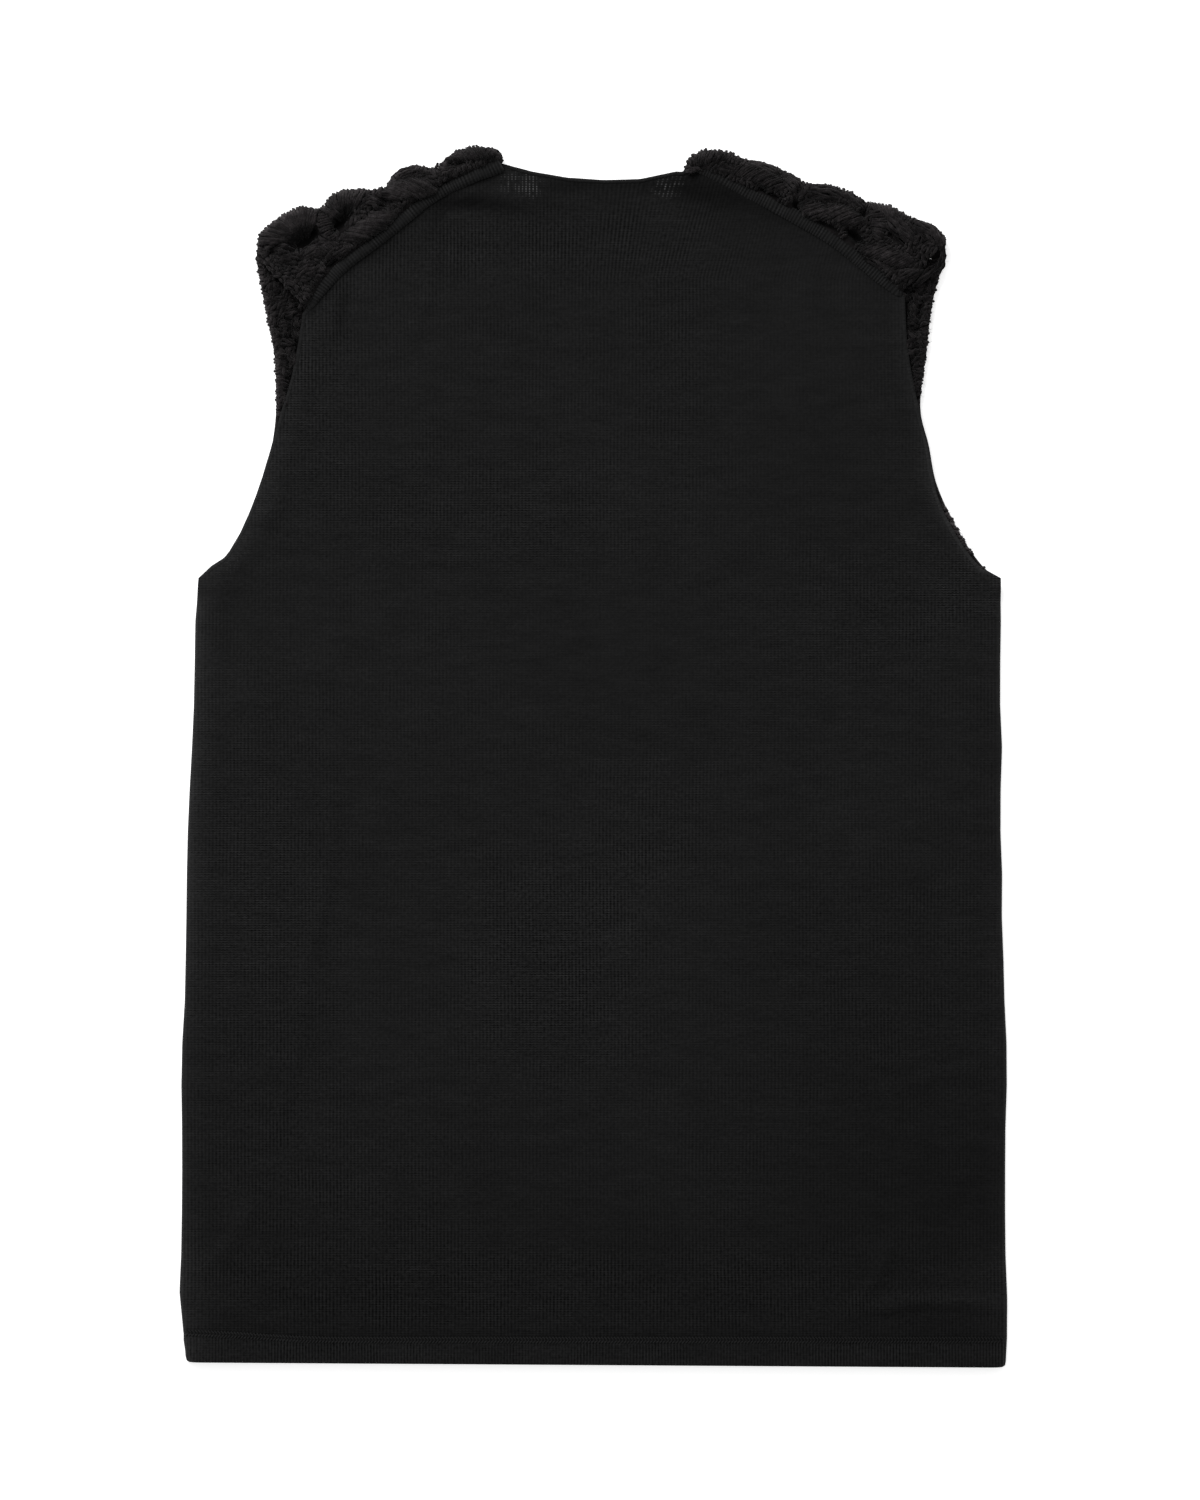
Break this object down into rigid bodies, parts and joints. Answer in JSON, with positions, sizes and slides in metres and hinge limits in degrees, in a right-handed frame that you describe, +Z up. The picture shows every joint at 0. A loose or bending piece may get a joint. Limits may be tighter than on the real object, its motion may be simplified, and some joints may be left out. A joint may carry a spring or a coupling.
{
  "type": "knitted vest",
  "caption": "Sleeveless pullover vest laid flat on its face, with a plain fine-knit back and a thick crochet front that turns over the shoulders.",
  "frame": {"origin": "on the table surface, below the middle of the vest's outline", "axes": "+Y from the hem to the neck, +X to the right of the neck as the laid vest is seen from above, +Z up from the table"},
  "size_m": [0.485, 0.7142, 0.015],
  "materials": {
    "crochet": "soft matte plied yarn",
    "jersey": "matte fine knit"
  },
  "bodies": {
    "root": {"front_panel": "crochet", "shoulder_yoke_left": "crochet", "shoulder_yoke_right": "crochet", "back_panel": "jersey", "back_hem_band": "jersey", "neck_trim": "jersey", "armhole_binding_left": "jersey", "armhole_binding_right": "jersey", "shoulder_binding_left": "jersey", "shoulder_binding_right": "jersey"}
  },
  "joints": []
}
